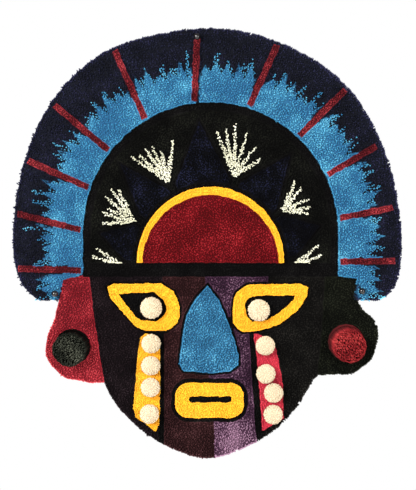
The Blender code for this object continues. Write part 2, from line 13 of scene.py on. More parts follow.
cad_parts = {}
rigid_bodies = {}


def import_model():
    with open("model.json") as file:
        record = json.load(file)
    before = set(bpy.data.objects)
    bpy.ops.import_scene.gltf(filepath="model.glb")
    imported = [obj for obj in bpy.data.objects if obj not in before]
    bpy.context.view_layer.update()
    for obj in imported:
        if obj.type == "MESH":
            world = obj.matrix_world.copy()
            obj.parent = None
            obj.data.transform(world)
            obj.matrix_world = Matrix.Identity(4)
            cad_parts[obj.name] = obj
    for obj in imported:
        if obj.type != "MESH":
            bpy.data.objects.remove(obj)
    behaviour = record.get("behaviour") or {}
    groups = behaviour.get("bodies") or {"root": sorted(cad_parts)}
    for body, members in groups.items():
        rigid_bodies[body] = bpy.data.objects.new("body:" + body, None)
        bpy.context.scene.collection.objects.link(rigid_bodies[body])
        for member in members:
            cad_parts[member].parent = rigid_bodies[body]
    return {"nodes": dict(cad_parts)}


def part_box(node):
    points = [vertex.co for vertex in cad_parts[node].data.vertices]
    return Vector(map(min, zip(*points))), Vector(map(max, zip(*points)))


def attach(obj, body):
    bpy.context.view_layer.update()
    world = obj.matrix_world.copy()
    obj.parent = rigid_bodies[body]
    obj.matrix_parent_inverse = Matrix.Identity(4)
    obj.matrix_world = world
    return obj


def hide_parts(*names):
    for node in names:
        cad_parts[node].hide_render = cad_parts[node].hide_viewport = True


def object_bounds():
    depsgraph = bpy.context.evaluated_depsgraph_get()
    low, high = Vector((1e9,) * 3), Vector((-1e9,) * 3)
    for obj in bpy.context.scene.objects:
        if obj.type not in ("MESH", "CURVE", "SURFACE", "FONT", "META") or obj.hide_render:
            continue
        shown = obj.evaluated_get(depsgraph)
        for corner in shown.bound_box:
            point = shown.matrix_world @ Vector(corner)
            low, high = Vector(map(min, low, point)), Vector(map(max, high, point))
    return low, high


# --- Frame, camera, lights and floor --------------------------------------------------------------
# The imported model is the frame. The mask hangs with its back on the wall plane, and the camera stands
# straight in front of it, in a pale studio lit by a broad lamp high at the front left, a side lamp at the
# front right and a small lamp behind.
for startup_object in list(bpy.data.objects):
    bpy.data.objects.remove(startup_object)
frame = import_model()
cad_low, cad_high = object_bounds()
PILE_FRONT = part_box("pile_headdress_navy")[0].y

VIEW_HEIGHT = 0.980
CAMERA_DISTANCE = 1.60
CAMERA_RISE = -0.004
camera_data = bpy.data.cameras.new("camera")
camera_data.sensor_fit = "VERTICAL"
camera_data.sensor_height = 24.0
camera_data.lens = camera_data.sensor_height * CAMERA_DISTANCE / VIEW_HEIGHT
camera = bpy.data.objects.new("camera", camera_data)
camera.location = (0.0, PILE_FRONT - CAMERA_DISTANCE, CAMERA_RISE)
camera.rotation_euler = (math.radians(90), 0.0, 0.0)
bpy.context.scene.collection.objects.link(camera)
bpy.context.scene.camera = camera
bpy.context.scene.view_settings.view_transform = "Standard"


def add_node(tree, kind, inputs=None, **settings):
    """A node with its settings made and its inputs, by name or number, linked or set."""
    made = tree.nodes.new(kind)
    for name, value in settings.items():
        setattr(made, name, value)
    for key, value in (inputs or {}).items():
        if isinstance(value, bpy.types.NodeSocket):
            tree.links.new(value, made.inputs[key])
        else:
            made.inputs[key].default_value = value
    return made


def paint(red, green, blue):
    """A screen colour, 0 to 255 a channel, as the linear colour that a shader takes."""
    shares = [channel / 255 for channel in (red, green, blue)]
    return (*[s / 12.92 if s <= 0.04045 else ((s + 0.055) / 1.055) ** 2.4 for s in shares], 1.0)


STUDIO_WHITE = 1.0
STUDIO_FILL = 1.65
ROOM_GLOW = 0.25
world = bpy.data.worlds.new("studio")
bpy.context.scene.world = world
world.use_nodes = True
world.node_tree.nodes.clear()
rays = add_node(world.node_tree, "ShaderNodeLightPath").outputs
fill = add_node(world.node_tree, "ShaderNodeBackground", {"Color": (1, 1, 1, 1), "Strength": STUDIO_FILL})
room = add_node(world.node_tree, "ShaderNodeBackground", {"Color": (1, 1, 1, 1), "Strength": ROOM_GLOW})
white = add_node(world.node_tree, "ShaderNodeBackground", {"Color": (1, 1, 1, 1), "Strength": STUDIO_WHITE})
around = add_node(
    world.node_tree, "ShaderNodeMixShader", {0: rays["Is Glossy Ray"], 1: fill.outputs[0], 2: room.outputs[0]}
)
backdrop = add_node(
    world.node_tree,
    "ShaderNodeMixShader",
    {0: rays["Is Camera Ray"], 1: around.outputs[0], 2: white.outputs[0]},
)
add_node(world.node_tree, "ShaderNodeOutputWorld", {"Surface": backdrop.outputs[0]})


def add_lamp(name, place, size, power):
    """A square soft box that faces the middle of the mask."""
    data = bpy.data.lights.new(name, "AREA")
    data.size = size
    data.energy = power
    lamp = bpy.data.objects.new(name, data)
    lamp.location = place
    lamp.rotation_euler = (-Vector(place)).to_track_quat("-Z", "Y").to_euler()
    bpy.context.scene.collection.objects.link(lamp)


add_lamp("key_lamp", (-1.6, -2.3, 0.7), 1.0, 172)
add_lamp("side_lamp", (1.8, -2.2, 0.3), 1.0, 68)
add_lamp("back_lamp", (0.8, 2.4, 1.6), 1.6, 16)

FLOOR_DROP = 1.5
FLOOR_REACH = 3.0
floor_data = bpy.data.meshes.new("floor")
floor_turns = ((-1, -1), (1, -1), (1, 1), (-1, 1))
floor_corners = [(x * FLOOR_REACH, y * FLOOR_REACH, -FLOOR_DROP) for x, y in floor_turns]
floor_data.from_pydata(floor_corners, [], [(0, 1, 2, 3)])
floor_paint = bpy.data.materials.new("floor_paint")
floor_paint.use_nodes = True
floor_paint.node_tree.nodes["Principled BSDF"].inputs["Base Color"].default_value = paint(228, 226, 222)
floor_data.materials.append(floor_paint)
floor = bpy.data.objects.new("floor", floor_data)
bpy.context.scene.collection.objects.link(floor)

# --- Primary cloth and its hem --------------------------------------------------------------------
# The tufts are shot through one sheet of natural cotton monk's cloth, whose margin is folded behind
# the rim and glued down with latex. Both show as a thin edge from the side, and as a hem at the back.
CLOTH_THREAD = 0.0016


def new_material(name):
    """A material with an empty tree and its shader joined to the output."""
    material = bpy.data.materials.new(name)
    material.use_nodes = True
    return material, material.node_tree, material.node_tree.nodes["Principled BSDF"]


def on_object(tree):
    """Where a point lies on the object, in metres."""
    return add_node(tree, "ShaderNodeTexCoord").outputs["Object"]


def noise(tree, place, scale, **more):
    return add_node(tree, "ShaderNodeTexNoise", {"Vector": place, "Scale": scale} | more).outputs[0]


def coloured(tree, value, shades, first=0.0, last=1.0):
    """These shades, dark to light, spread evenly over the values from first to last."""
    ramp = add_node(tree, "ShaderNodeValToRGB", {0: value})
    for _ in range(len(shades) - 2):
        ramp.color_ramp.elements.new(0.5)
    for k, shade in enumerate(shades):
        ramp.color_ramp.elements[k].position = first + (last - first) * k / (len(shades) - 1)
        ramp.color_ramp.elements[k].color = paint(*shade)
    return ramp.outputs[0]


def raised(tree, shader, height, distance, strength):
    """Bumps the shader's surface by this height."""
    inputs = {"Height": height, "Distance": distance, "Strength": strength}
    bump = add_node(tree, "ShaderNodeBump", inputs)
    tree.links.new(bump.outputs[0], shader.inputs["Normal"])


def woven_material(name, dark, light):
    """Plain weave: warp over weft in turn, each thread round, with slubs in the yarn and painted shade where
    the threads dip.
    """
    material, tree, shader = new_material(name)
    place = on_object(tree)
    parts = add_node(tree, "ShaderNodeSeparateXYZ", {0: place})
    waves = []
    for axis in ("X", "Z"):
        turns = add_node(
            tree, "ShaderNodeMath", {0: parts.outputs[axis], 1: math.pi / CLOTH_THREAD}, operation="MULTIPLY"
        )
        waves.append(add_node(tree, "ShaderNodeMath", {0: turns.outputs[0]}, operation="SINE").outputs[0])
    weave = add_node(tree, "ShaderNodeMath", {0: waves[0], 1: waves[1]}, operation="MULTIPLY")
    slub = noise(tree, place, 60.0, Detail=5.0, Roughness=0.65)
    height = add_node(
        tree, "ShaderNodeMath", {0: weave.outputs[0], 1: 0.30, 2: slub}, operation="MULTIPLY_ADD"
    )
    # Painted shade: the weave's low points, between threads, are coloured darker; the slubs also vary the
    # yarn's tone.
    colour = coloured(tree, height.outputs[0], (dark, light), 0.15, 0.75)
    tree.links.new(colour, shader.inputs["Base Color"])
    raised(tree, shader, height.outputs[0], 0.0005, 0.8)
    shader.inputs["Roughness"].default_value = 0.9
    shader.inputs["Sheen Weight"].default_value = 0.2
    return material


monks_cloth = woven_material("natural_monks_cloth", (122, 108, 84), (186, 172, 144))
for node_name in ("primary_cloth", "hem_fold"):
    frame["nodes"][node_name].data.materials[0] = monks_cloth

latex, latex_tree, latex_shader = new_material("dried_latex")
latex_ripple = noise(latex_tree, on_object(latex_tree), 90.0, Detail=3.0)
latex_colour = coloured(latex_tree, latex_ripple, ((196, 178, 136), (228, 216, 182)))
latex_tree.links.new(latex_colour, latex_shader.inputs["Base Color"])
latex_shader.inputs["Roughness"].default_value = 0.45
frame["nodes"]["latex_layer"].data.materials[0] = latex

# --- Felt back and its stitches -------------------------------------------------------------------
# A sheet of charcoal wool felt covers the latex and the ends of the yarn. It is cut a little inside the
# rim and whipped to the hem all the way round with waxed thread.
FELT_GRAIN = 420.0
STITCH_SPACING = 0.009
STITCH_REACH = 0.0042
THREAD_RADIUS = 0.00055
MERGE_WITHIN = 0.00001

felt, felt_tree, felt_shader = new_material("charcoal_wool_felt")
felt_place = on_object(felt_tree)
felt_fibre = noise(felt_tree, felt_place, FELT_GRAIN, Detail=6.0, Roughness=0.7, Distortion=1.2)
felt_cloud = noise(felt_tree, felt_place, 30.0, Detail=5.0, Roughness=0.7)
felt_mottle = add_node(
    felt_tree, "ShaderNodeMath", {0: felt_cloud, 1: 0.5, 2: felt_fibre}, operation="MULTIPLY_ADD"
)
felt_colour = coloured(felt_tree, felt_mottle.outputs[0], ((22, 22, 25), (62, 62, 67)), 0.45, 1.0)
felt_tree.links.new(felt_colour, felt_shader.inputs["Base Color"])
raised(felt_tree, felt_shader, felt_fibre, 0.0004, 0.7)
felt_shader.inputs["Roughness"].default_value = 0.95
felt_shader.inputs["Sheen Weight"].default_value = 0.06
frame["nodes"]["backing_felt"].data.materials[0] = felt


def merged_copy(node_names):
    """A welded copy of these nodes' triangles."""
    copy = bmesh.new()
    for name in node_names:
        copy.from_mesh(frame["nodes"][name].data)
    bmesh.ops.remove_doubles(copy, verts=copy.verts, dist=MERGE_WITHIN)
    return copy


def add_object(name, data):
    made = bpy.data.objects.new(name, data)
    bpy.context.scene.collection.objects.link(made)
    return made


def mesh_object(name, shape):
    """The bmesh as an object of its own, at the origin."""
    data = bpy.data.meshes.new(name)
    shape.to_mesh(data)
    shape.free()
    return add_object(name, data)


def facing(node_names, name, direction=-1.0):
    """Only the flat faces of these nodes that look along Y in this direction: -1 is out of the wall."""
    shape = merged_copy(node_names)
    others = [face for face in shape.faces if face.normal.y * direction < 0.9]
    bmesh.ops.delete(shape, geom=others, context="FACES")
    return mesh_object(name, shape)


def outline_of(node_names, name, direction=-1.0):
    """Only the edges round these nodes' flat faces."""
    sheet = facing(node_names, name, direction)
    shape = bmesh.new()
    shape.from_mesh(sheet.data)
    bmesh.ops.delete(shape, geom=[e for e in shape.edges if not e.is_boundary], context="EDGES_FACES")
    shape.to_mesh(sheet.data)
    shape.free()
    return sheet


def new_tree(name, inputs):
    """A geometry tree with named inputs: the tree, its input node's outputs, each input's identifier."""
    tree = bpy.data.node_groups.new(name, "GeometryNodeTree")
    tree.interface.new_socket("Geometry", in_out="INPUT", socket_type="NodeSocketGeometry")
    tree.interface.new_socket("Geometry", in_out="OUTPUT", socket_type="NodeSocketGeometry")
    named = {}
    for input_name, kind in inputs.items():
        made = tree.interface.new_socket(input_name, in_out="INPUT", socket_type=f"NodeSocket{kind}")
        named[input_name] = made.identifier
    return tree, tree.nodes.new("NodeGroupInput").outputs, named


def end_tree(tree, shape, material):
    """Realises what was made, gives it its material and sends it out."""
    whole = add_node(tree, "GeometryNodeSetMaterial", {"Geometry": shape, "Material": material})
    add_node(tree, "NodeGroupOutput", {"Geometry": whole.outputs[0]})


def grown_piece(piece, tree, named, values):
    """Runs the tree on the piece, keeps the result as its plain mesh and drops the modifier."""
    growth = piece.modifiers.new(tree.name, "NODES")
    growth.node_group = tree
    for input_name, value in values.items():
        growth[named[input_name]] = value
    graph = bpy.context.evaluated_depsgraph_get()
    result = bpy.data.meshes.new_from_object(
        piece.evaluated_get(graph), preserve_all_data_layers=True, depsgraph=graph
    )
    result.name = piece.name
    piece.modifiers.clear()
    piece.data = result
    return piece


# One whip stitch: a short arch of thread over the felt's edge.
stitch_curve = bpy.data.curves.new("one_stitch", "CURVE")
stitch_curve.dimensions = "3D"
stitch_curve.bevel_depth = THREAD_RADIUS
stitch_curve.bevel_resolution = 1
stitch_curve.resolution_u = 3
stitch_curve.use_fill_caps = True
stitch_spline = stitch_curve.splines.new("BEZIER")
stitch_spline.bezier_points.add(2)
for stitch_point, share, rise in zip(stitch_spline.bezier_points, (-1.0, 0.0, 1.0), (-1.6, 0.6, -1.6)):
    stitch_point.co = (share * STITCH_REACH, 0.3 * share * STITCH_REACH, rise * THREAD_RADIUS)
    stitch_point.handle_left_type = stitch_point.handle_right_type = "AUTO"
one_stitch = add_object("one_stitch", stitch_curve)

stitch_tree, given, stitch_names = new_tree(
    "whip_stitches", {"Stitch": "Object", "Spacing": "Float", "Thread": "Material"}
)
seam = add_node(stitch_tree, "GeometryNodeMeshToCurve", {"Mesh": given["Geometry"]})
even = add_node(
    stitch_tree,
    "GeometryNodeResampleCurve",
    {"Curve": seam.outputs[0], "Length": given["Spacing"]},
    mode="LENGTH",
)
stitch_shape = add_node(stitch_tree, "GeometryNodeObjectInfo", {"Object": given["Stitch"]})
along = add_node(stitch_tree, "GeometryNodeInputTangent")
across = add_node(
    stitch_tree, "ShaderNodeVectorMath", {0: along.outputs[0], 1: (0.0, 1.0, 0.0)}, operation="CROSS_PRODUCT"
)
out_of_felt = add_node(
    stitch_tree, "FunctionNodeAlignRotationToVector", {"Vector": (0.0, 1.0, 0.0)}, axis="Z"
)
over_edge = add_node(
    stitch_tree,
    "FunctionNodeAlignRotationToVector",
    {"Rotation": out_of_felt.outputs[0], "Vector": across.outputs[0]},
    axis="X",
    pivot_axis="Z",
)
stitched = add_node(
    stitch_tree,
    "GeometryNodeInstanceOnPoints",
    {
        "Points": even.outputs[0],
        "Instance": stitch_shape.outputs["Geometry"],
        "Rotation": over_edge.outputs[0],
    },
)
loose = add_node(stitch_tree, "GeometryNodeRealizeInstances", {"Geometry": stitched.outputs[0]})
end_tree(stitch_tree, loose.outputs[0], given["Thread"])

waxed_thread, thread_tree, thread_shader = new_material("waxed_thread")
thread_colour = coloured(
    thread_tree, noise(thread_tree, on_object(thread_tree), 900.0), ((120, 24, 30), (190, 56, 60))
)
thread_tree.links.new(thread_colour, thread_shader.inputs["Base Color"])
thread_shader.inputs["Roughness"].default_value = 0.55

felt_stitches = grown_piece(
    outline_of(["backing_felt"], "felt_stitches", 1.0),
    stitch_tree,
    stitch_names,
    {"Stitch": one_stitch, "Spacing": STITCH_SPACING, "Thread": waxed_thread},
)
bpy.data.objects.remove(one_stitch)
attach(felt_stitches, "mask")

# --- Tufts ----------------------------------------------------------------------------------------
# Every field of colour is wool yarn shot through the cloth and cut to a pile. One tuft is three plies,
# each a short strand with a cut tip; the rows are close enough to hide the cloth.
PLIES = 3
PLY_RADIUS = 0.60
PLY_OUT_AT_FOOT = 0.30
PLY_OUT_AT_TIP = 0.62
PLY_SHOULDER = 0.86
PLY_LENGTHS = (1.0, 0.95, 0.975)
TUFT_SPACING = 0.0030
YARN_RADIUS = 0.00145
BED_SHARE = 0.62
SHORTEST_CUT = 0.94
LONGEST_CUT = 1.03
ROLL = 0.10
ROLL_BEAT = 22.0
FULLEST = 3.0
EDGE_WIDTH = 0.0045
# Painted shade along borders and painted light at the rim, both put into the tufts' tone.
EDGE_SHADE_WIDTH = 0.0030
EDGE_PAINTED_SHADE = 0.45
ROW_STEP_SHARE = 0.72
ROW_INSET_SHARE = 0.38
ROW_CLEAR_SHARE = 0.72
ROW_WOBBLE_SHARE = 0.22
ROW_PROBE = 0.0009
WAVER = 0.0050
WAVER_BEAT = 70.0
RIM_WIDTH = 0.009
RIM_SPLAY = 0.12
RIM_PAINTED_LIGHT = 0.9
CELL_MARGIN = 0.06
PLY_TONE_SHARE = 0.45
WANDER_LEVEL = 0.55
WHISKER_BEAT = 23.0
WHISKER_FOOT = 0.50
WHISKER_TIP = 0.62
TUFT_MAP_SHARE = 0.88
STRIP_MARGIN = 0.01


def one_tuft():
    """Three plies side by side, one unit tall, each point marked with its rise and its place on a map."""
    shape = bmesh.new()
    rise = shape.verts.layers.float.new("rise")
    ply = shape.verts.layers.float.new("ply")
    map_place = shape.loops.layers.uv.new("cell")
    for k in range(PLIES):
        turn = 2 * math.pi * k / PLIES
        outward = Vector((math.cos(turn), math.sin(turn), 0.0))
        rings = []
        for height, out in ((0.0, PLY_OUT_AT_FOOT), (PLY_SHOULDER, PLY_OUT_AT_TIP)):
            rings.append([])
            for side in range(3):
                spin = turn + 2 * math.pi * side / 3
                corner = outward * out + PLY_RADIUS * Vector((math.cos(spin), math.sin(spin), 0.0))
                corner.z = height * PLY_LENGTHS[k]
                rings[-1].append(shape.verts.new(corner))
        tip = shape.verts.new(outward * (PLY_OUT_AT_TIP + 0.1) + Vector((0.0, 0.0, PLY_LENGTHS[k])))
        shape.faces.new(rings[0][::-1])
        for side in range(3):
            beside = (side + 1) % 3
            shape.faces.new([rings[0][side], rings[0][beside], rings[1][beside], rings[1][side]])
            shape.faces.new([rings[1][side], rings[1][beside], tip])
        for point in (*rings[0], *rings[1], tip):
            point[ply] = k
            point[rise] = point.co.z
    for face in shape.faces:
        face.smooth = True
        k = face.verts[0][ply]
        for loop in face.loops:
            co = loop.vert.co
            across = 0.5 + 0.5 * math.sin(math.atan2(co.y, co.x) * 1.5)
            loop[map_place].uv = ((k + 0.15 + 0.7 * across) / PLIES, co.z)
    return mesh_object("one_tuft", shape)


def mixed(tree, low, high, share):
    """low + (high - low) * share."""
    return add_node(tree, "ShaderNodeMix", {0: share, 2: low, 3: high}, data_type="FLOAT").outputs[0]


def calculated(tree, operation, *values):
    made = add_node(tree, "ShaderNodeMath", dict(enumerate(values)), operation=operation)
    return made.outputs[0]


def vector_math(tree, operation, *values):
    return add_node(tree, "ShaderNodeVectorMath", dict(enumerate(values)), operation=operation)


def nearest(tree, target, place):
    """The nearest point on the target's edges and how far away it is."""
    edges = add_node(tree, "GeometryNodeObjectInfo", {"Object": target})
    found = add_node(
        tree,
        "GeometryNodeProximity",
        {"Geometry": edges.outputs["Geometry"], "Sample Position": place},
        target_element="EDGES",
    )
    return found.outputs["Position"], found.outputs["Distance"]


def fade(tree, distance, width):
    """One at no distance, falling to nothing at this width."""
    made = add_node(
        tree,
        "ShaderNodeMapRange",
        {"Value": distance, "From Min": 0.0, "From Max": width, "To Min": 1.0, "To Max": 0.0},
    )
    return made.outputs[0]


def random_number(tree, low, high, seed, **more):
    settings = {2: low, 3: high, "Seed": seed} | more
    return add_node(tree, "FunctionNodeRandomValue", settings, data_type="FLOAT").outputs[1]


def random_lean(tree, low, high, seed):
    settings = {"Min": low, "Max": high, "Seed": seed}
    return add_node(tree, "FunctionNodeRandomValue", settings, data_type="FLOAT_VECTOR").outputs[0]


def lies_behind(tree, target, place):
    """True where the target lies behind this place, seen straight on."""
    start = vector_math(tree, "ADD", place, (0.0, -0.1, 0.0)).outputs[0]
    inputs = {
        "Target Geometry": target,
        "Source Position": start,
        "Ray Direction": (0, 1, 0),
        "Ray Length": 1.0,
    }
    return add_node(tree, "GeometryNodeRaycast", inputs).outputs["Is Hit"]


def in_pattern(tree, given, place):
    """True where a tuft falls on the pattern, whose edge wanders in and out along the feathers."""
    node, maths, vectors = (partial(made_by, tree) for made_by in (add_node, calculated, vector_math))
    from_middle = vectors("SUBTRACT", place, given["Middle"]).outputs[0]
    parts = node("ShaderNodeSeparateXYZ", {0: from_middle}).outputs
    angle = maths("ARCTAN2", parts["Z"], parts["X"])
    beat = node(
        "ShaderNodeTexNoise",
        {"W": angle, "Scale": given["Wander beat"], "Detail": 2.0, "Roughness": 0.75},
        noise_dimensions="1D",
    ).outputs[0]
    wander = maths("MULTIPLY", maths("SUBTRACT", beat, WANDER_LEVEL), given["Wander"])
    sharp = node(
        "ShaderNodeTexNoise",
        {"W": angle, "Scale": WHISKER_BEAT, "Detail": 1.0},
        noise_dimensions="1D",
    ).outputs[0]
    tall = node(
        "ShaderNodeTexNoise",
        {"W": angle, "Scale": WHISKER_BEAT * 0.4, "Detail": 0.0},
        noise_dimensions="1D",
    ).outputs[0]
    tip = node(
        "ShaderNodeMapRange",
        {"Value": sharp, "From Min": WHISKER_FOOT, "From Max": WHISKER_TIP, "To Min": 0.0, "To Max": tall},
    ).outputs[0]
    whisker = maths("MULTIPLY", tip, given["Whisker"])
    wander = maths("SUBTRACT", wander, whisker)
    shaken = vectors("SCALE", random_lean(tree, (-1, 0, -1), (1, 0, 1), 3))
    tree.links.new(given["Stray"], shaken.inputs["Scale"])
    along = vectors("SCALE", vectors("NORMALIZE", from_middle).outputs[0])
    tree.links.new(wander, along.inputs["Scale"])
    start = vectors("ADD", vectors("ADD", place, along.outputs[0]).outputs[0], shaken.outputs[0])
    pattern = node("GeometryNodeObjectInfo", {"Object": given["Pattern"]})
    return lies_behind(tree, pattern.outputs["Geometry"], start.outputs[0])


def marked(tree, shape, name, value, kind="FLOAT", domain="POINT"):
    """The shape with this value stored on it under this name."""
    inputs = {"Geometry": shape, "Name": name, "Value": value}
    return add_node(tree, "GeometryNodeStoreNamedAttribute", inputs, data_type=kind, domain=domain).outputs[0]


def scatter(tree, given):
    """Places spread at random over the shape, none nearer to another than the spacing."""
    square = calculated(tree, "MULTIPLY", given["Spacing"], given["Spacing"])
    spread = add_node(
        tree,
        "GeometryNodeDistributePointsOnFaces",
        {
            "Mesh": given["Geometry"],
            "Distance Min": given["Spacing"],
            "Density Max": calculated(tree, "DIVIDE", FULLEST, square),
            "Seed": given["Seed"],
        },
        distribute_method="POISSON",
    )
    return spread.outputs["Points"]


PILE_INPUTS = {
    "Tuft": "Object",
    "Bed": "Object",
    "Border": "Object",
    "Cloth edge": "Object",
    "Pattern": "Object",
    "Keep outside": "Bool",
    "Middle": "Vector",
    "Wander": "Float",
    "Wander beat": "Float",
    "Whisker": "Float",
    "Stray": "Float",
    "Spacing": "Float",
    "Yarn radius": "Float",
    "Foot": "Float",
    "Pile height": "Float",
    "Edge drop": "Float",
    "Splay": "Float",
    "Rim lean": "Float",
    "Comb": "Vector",
    "Gather": "Float",
    "Seed": "Int",
    "Yarn": "Material",
}
pile_tree, given, pile_names = new_tree("tufted_pile", PILE_INPUTS)
node, maths, vectors = (partial(made_by, pile_tree) for made_by in (add_node, calculated, vector_math))
scattered = scatter(pile_tree, given)
here = node("GeometryNodeInputPosition").outputs[0]
# The tufting gun goes round each border first, in one row set in by a share of the spacing.
border_edges = node("GeometryNodeObjectInfo", {"Object": given["Border"]})
border_line = node("GeometryNodeMeshToCurve", {"Mesh": border_edges.outputs["Geometry"]})
border_row = node(
    "GeometryNodeCurveToPoints",
    {
        "Curve": border_line.outputs[0],
        "Length": maths("MULTIPLY", given["Spacing"], ROW_STEP_SHARE),
    },
    mode="LENGTH",
)
sideways = vectors("CROSS_PRODUCT", border_row.outputs["Tangent"], (0.0, 1.0, 0.0)).outputs[0]


def spun_upright(tree, heading, seed):
    """Standing along the heading, and turned about it at random."""
    standing = add_node(tree, "FunctionNodeAlignRotationToVector", {"Vector": heading}, axis="Z")
    spin = add_node(tree, "ShaderNodeCombineXYZ", {"Z": random_number(tree, 0.0, 2 * math.pi, seed)})
    turn = add_node(tree, "FunctionNodeEulerToRotation", {0: spin.outputs[0]})
    turned = add_node(
        tree,
        "FunctionNodeRotateRotation",
        {0: standing.outputs[0], 1: turn.outputs[0]},
        rotation_space="LOCAL",
    )
    return turned.outputs[0]


def scaled(tree, vector, factor):
    made = vector_math(tree, "SCALE", vector)
    if isinstance(factor, bpy.types.NodeSocket):
        tree.links.new(factor, made.inputs["Scale"])
    else:
        made.inputs["Scale"].default_value = factor
    return made.outputs[0]


beside = [
    vectors("ADD", here, scaled(pile_tree, sideways, probe)).outputs[0] for probe in (ROW_PROBE, -ROW_PROBE)
]
one_side, other_side = (lies_behind(pile_tree, given["Geometry"], place) for place in beside)
on_edge = node("FunctionNodeBooleanMath", {0: one_side, 1: other_side}, operation="XOR")
which_way = node("ShaderNodeMix", {0: one_side, 2: -ROW_INSET_SHARE, 3: ROW_INSET_SHARE}, data_type="FLOAT")
row_wobble = random_number(pile_tree, -ROW_WOBBLE_SHARE, ROW_WOBBLE_SHARE, 7)
row_share = maths("ADD", which_way.outputs[0], row_wobble)
row_inset = maths("MULTIPLY", row_share, given["Spacing"])
row_on_edge = node(
    "GeometryNodeDeleteGeometry",
    {
        "Geometry": border_row.outputs["Points"],
        "Selection": node("FunctionNodeBooleanMath", {0: on_edge.outputs[0]}, operation="NOT").outputs[0],
    },
)
first_row = node(
    "GeometryNodeSetPosition",
    {"Geometry": row_on_edge.outputs[0], "Offset": scaled(pile_tree, sideways, row_inset)},
)
_, border_distance = nearest(pile_tree, given["Border"], here)
crowded = node(
    "FunctionNodeCompare",
    {0: border_distance, 1: maths("MULTIPLY", given["Spacing"], ROW_CLEAR_SHARE)},
    operation="LESS_THAN",
)
fill_rows = node(
    "GeometryNodeDeleteGeometry",
    {"Geometry": scattered, "Selection": crowded.outputs[0]},
)
all_rows = node("GeometryNodeJoinGeometry", {"Geometry": fill_rows.outputs[0]})
pile_tree.links.new(first_row.outputs[0], all_rows.inputs["Geometry"])
on_pattern = in_pattern(pile_tree, given, here)
dropped = node("FunctionNodeBooleanMath", {0: on_pattern, 1: given["Keep outside"]}, operation="XNOR")
rowed = node(
    "GeometryNodeDeleteGeometry", {"Geometry": all_rows.outputs[0], "Selection": dropped.outputs[0]}
)
# Painted shade and light: tufts along a border are toned darker, as if in the shade of their neighbours, and
# those at the rim are toned lighter, as if catching the light.
rim_point, _ = nearest(pile_tree, given["Cloth edge"], here)
flat_rim = vectors("MULTIPLY", vectors("SUBTRACT", rim_point, here).outputs[0], (1, 0, 1))
outward = vectors("NORMALIZE", flat_rim.outputs[0])
flat_distance = vectors("LENGTH", flat_rim.outputs[0]).outputs["Value"]
at_rim = fade(pile_tree, flat_distance, RIM_WIDTH)
shaded = mixed(pile_tree, fade(pile_tree, border_distance, EDGE_SHADE_WIDTH), -RIM_PAINTED_LIGHT, at_rim)
shade_marked = marked(pile_tree, rowed.outputs[0], "edge", shaded)
# The gun is guided by hand, so every line wavers a little.
waver = node("ShaderNodeTexNoise", {"Vector": here, "Scale": WAVER_BEAT, "Detail": 1.0}).outputs["Color"]
aside = vectors("MULTIPLY", vectors("SUBTRACT", waver, (0.5, 0.5, 0.5)).outputs[0], (WAVER, 0.0, WAVER))
wavered = node(
    "GeometryNodeSetPosition", {"Geometry": shade_marked, "Offset": aside.outputs[0]}
)
# The pile leans out over the cloth's rim, and is carved a little lower along each border.
lean = vectors("SCALE", outward.outputs[0])
pile_tree.links.new(maths("MULTIPLY", given["Rim lean"], at_rim), lean.inputs["Scale"])
splayed = vectors("SCALE", random_lean(pile_tree, (-1, 0, -1), (1, 0, 1), 1))
pile_tree.links.new(maths("MULTIPLY_ADD", at_rim, RIM_SPLAY, given["Splay"]), splayed.inputs["Scale"])
to_middle = vectors("SUBTRACT", given["Middle"], here).outputs[0]
gathered = scaled(pile_tree, vectors("MULTIPLY", to_middle, (1, 0, 1)).outputs[0], given["Gather"])
heading = vectors("ADD", splayed.outputs[0], (0, -1, 0))
for bend in (lean.outputs[0], given["Comb"], gathered):
    heading = vectors("ADD", heading.outputs[0], bend)
turned = spun_upright(pile_tree, heading.outputs[0], 2)
cut = random_number(pile_tree, SHORTEST_CUT, LONGEST_CUT, 4)
roll = node("ShaderNodeTexNoise", {"Vector": here, "Scale": ROLL_BEAT, "Detail": 1.0}).outputs[0]
trimmed = maths("ADD", cut, maths("MULTIPLY", maths("SUBTRACT", roll, 0.5), ROLL))
edge_curve = maths("POWER", fade(pile_tree, border_distance, EDGE_WIDTH), 2.0)
bevel = maths("MULTIPLY", edge_curve, given["Edge drop"])
tall = maths("MULTIPLY", maths("SUBTRACT", trimmed, bevel), given["Pile height"])
size = node("ShaderNodeCombineXYZ", {"X": given["Yarn radius"], "Y": given["Yarn radius"], "Z": tall})
tuft_shape = node("GeometryNodeObjectInfo", {"Object": given["Tuft"]})
planted = node(
    "GeometryNodeInstanceOnPoints",
    {
        "Points": wavered.outputs[0],
        "Instance": tuft_shape.outputs["Geometry"],
        "Rotation": turned,
        "Scale": size.outputs[0],
    },
)
# Instances come down from the cut face to the cloth.
down = node(
    "ShaderNodeCombineXYZ",
    {"Y": maths("SUBTRACT", given["Foot"], node("ShaderNodeSeparateXYZ", {0: here}).outputs["Y"])},
)
lowered = node(
    "GeometryNodeTranslateInstances",
    {"Instances": planted.outputs[0], "Translation": down.outputs[0], "Local Space": False},
)


def stored(tree, name, kind):
    return add_node(tree, "GeometryNodeInputNamedAttribute", {"Name": name}, data_type=kind).outputs[0]


def random_from(tree, number, seed):
    return random_number(tree, 0.0, 1.0, seed, ID=number)


